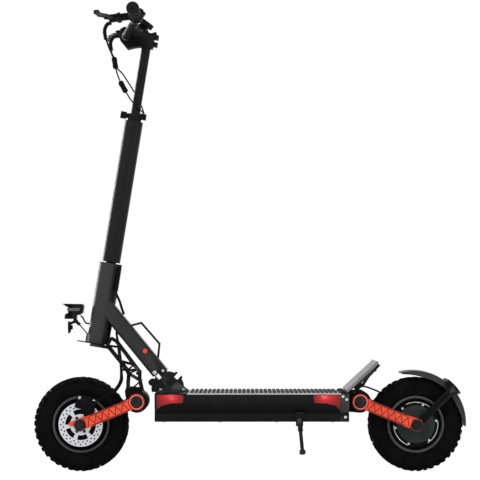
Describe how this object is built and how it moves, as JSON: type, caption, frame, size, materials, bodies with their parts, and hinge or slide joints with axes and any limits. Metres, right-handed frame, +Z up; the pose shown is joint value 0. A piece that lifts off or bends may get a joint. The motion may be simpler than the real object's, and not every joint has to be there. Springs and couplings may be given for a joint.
{
  "type": "electric kick scooter",
  "caption": "Standing electric scooter with knobby tyres on swing arms, flat ribbed deck, folding neck, steerable column with a sliding post, bar with brake levers, fender and stand.",
  "frame": {"origin": "on the ground under the middle of the whole machine", "axes": "+X to the rear, travel is towards -X; +Y to the rider's right; +Z up"},
  "size_m": [1.181, 0.6, 1.2664],
  "materials": {
    "satin_black": "satin black powder coat",
    "casting": "semi-matt black casting",
    "arm_red": "orange-red lacquer",
    "steel": "bright zinc",
    "dark_steel": "black oxide",
    "disc_steel": "ground stainless",
    "aluminium": "black anodised",
    "black_plastic": "fine-grained moulding",
    "rubber": "matt",
    "tyre": "matt tread rubber",
    "red_light": "translucent red",
    "lens": "clear moulded lens",
    "red_plastic": "glossy",
    "battery": "shrink sleeve"
  },
  "bodies": {
    "deck": {"deck_shell": "aluminium", "deck_mat": "rubber", "belly_plate": "aluminium", "deck_screws": "steel", "side_lights": "red_light", "front_block": "casting", "rear_block": "casting", "kickplate": "casting", "battery_pack": "battery", "controller": "aluminium", "charge_socket": "black_plastic", "hinge_plates": "dark_steel", "fold_pin": "steel", "kickstand_bracket": "dark_steel"},
    "kickstand": {"kickstand_leg": "satin_black"},
    "neck": {"neck_frame": "satin_black", "headset_bearings": "steel", "cable_guide": "rubber", "head_cables": "rubber"},
    "lock": {"lock_bar": "steel", "lock_handle": "satin_black"},
    "safety_button": {"safety_button": "red_plastic"},
    "steer": {"fork": "casting", "column": "satin_black", "collar": "aluminium", "light_bracket": "dark_steel", "horn": "black_plastic", "light_cable": "rubber", "front_cables": "rubber"},
    "headlight": {"headlight": "black_plastic", "headlight_lens": "lens"},
    "height_knob": {"height_knob": "black_plastic"},
    "front_arm": {"front_arms": "arm_red", "front_shafts": "dark_steel", "front_caliper": "aluminium"},
    "front_wheel": {"front_tyre": "tyre", "front_hub": "aluminium", "front_disc": "disc_steel"},
    "handlebar": {"post": "satin_black", "stem_head": "casting", "handlebar": "aluminium", "grips": "rubber", "lever_perches": "aluminium", "display_pod": "black_plastic", "switch_pod": "black_plastic", "bar_cables": "rubber"},
    "brake_lever_left": {"brake_lever_left": "aluminium"},
    "brake_lever_right": {"brake_lever_right": "aluminium"},
    "throttle": {"throttle_lever": "black_plastic"},
    "power_button": {"power_button": "red_plastic"},
    "horn_button": {"horn_button": "red_plastic"},
    "rear_arm": {"rear_arms": "arm_red", "rear_shafts": "dark_steel", "rear_caliper": "aluminium", "rear_fender": "black_plastic", "fender_struts": "casting", "rear_cable": "rubber"},
    "rear_wheel": {"rear_tyre": "tyre", "rear_hub": "aluminium", "rear_disc": "disc_steel"}
  },
  "joints": [
    {"name": "fold", "type": "hinge", "parent": "deck", "child": "neck", "pos_m": [-0.2255, 0, 0.228], "axis": [0, 1, 0], "range_deg": [0, 80]},
    {"name": "lock", "type": "slide", "parent": "neck", "child": "lock", "axis": [-0.6332, 0, 0.774], "range_m": [-0.017, 0]},
    {"name": "safety_button", "type": "slide", "parent": "neck", "child": "safety_button", "axis": [0, 1, 0], "range_m": [0, 0.0025], "stiffness_N_per_m": 600, "springref_m": -0.0015},
    {"name": "steering", "type": "hinge", "parent": "neck", "child": "steer", "pos_m": [-0.418, 0, 0.35], "axis": [0.1616, 0, 0.9869], "range_deg": [-40, 40], "deforming": ["front_cables", "light_cable"]},
    {"name": "lamp_tilt", "type": "hinge", "parent": "steer", "child": "headlight", "pos_m": [-0.479, 0, 0.411], "axis": [0, 1, 0], "range_deg": [-4, 20]},
    {"name": "height_knob", "type": "hinge", "parent": "steer", "child": "height_knob", "pos_m": [-0.34563, 0, 0.97755], "axis": [-0.9869, 0, 0.1616], "range_deg": [0, 360]},
    {"name": "front_suspension", "type": "hinge", "parent": "steer", "child": "front_arm", "pos_m": [-0.3075, 0, 0.192], "axis": [0, 1, 0], "range_deg": [-5, 12], "stiffness_Nm_per_rad": 120, "springref_deg": -9.45},
    {"name": "front_wheel_spin", "type": "hinge", "parent": "front_arm", "child": "front_wheel", "pos_m": [-0.4615, 0, 0.129], "axis": [0, 1, 0], "continuous": true},
    {"name": "height", "type": "slide", "parent": "steer", "child": "handlebar", "axis": [0.1616, 0, 0.9869], "range_m": [-0.14, 0], "deforming": ["bar_cables"]},
    {"name": "brake_lever_left", "type": "hinge", "parent": "handlebar", "child": "brake_lever_left", "pos_m": [-0.36814, -0.156, 1.22131], "axis": [-0.1167, 0, 0.9932], "range_deg": [0, 18], "stiffness_Nm_per_rad": 2, "springref_deg": -6.88},
    {"name": "brake_lever_right", "type": "hinge", "parent": "handlebar", "child": "brake_lever_right", "pos_m": [-0.36814, 0.156, 1.22131], "axis": [0.1167, 0, -0.9932], "range_deg": [0, 18], "stiffness_Nm_per_rad": 2, "springref_deg": -6.88},
    {"name": "throttle", "type": "hinge", "parent": "handlebar", "child": "throttle", "pos_m": [-0.30656, 0.1365, 1.22854], "axis": [0, 1, 0], "range_deg": [0, 25], "stiffness_Nm_per_rad": 0.3, "springref_deg": -8.59},
    {"name": "power_button", "type": "slide", "parent": "handlebar", "child": "power_button", "axis": [-0.5779, 0, -0.8161], "range_m": [0, 0.0015], "stiffness_N_per_m": 600, "springref_m": -0.001},
    {"name": "horn_button", "type": "slide", "parent": "handlebar", "child": "horn_button", "axis": [-0.5779, 0, -0.8161], "range_m": [0, 0.002], "stiffness_N_per_m": 600, "springref_m": -0.001},
    {"name": "rear_suspension", "type": "hinge", "parent": "deck", "child": "rear_arm", "pos_m": [0.2995, 0, 0.192], "axis": [0, -1, 0], "range_deg": [-5, 12], "stiffness_Nm_per_rad": 120, "springref_deg": -9.45, "deforming": ["rear_cable"]},
    {"name": "rear_wheel_spin", "type": "hinge", "parent": "rear_arm", "child": "rear_wheel", "pos_m": [0.4535, 0, 0.129], "axis": [0, 1, 0], "continuous": true},
    {"name": "kickstand", "type": "hinge", "parent": "deck", "child": "kickstand", "pos_m": [0.1335, -0.12, 0.143], "axis": [0, -1, 0], "range_deg": [0, 88]}
  ]
}
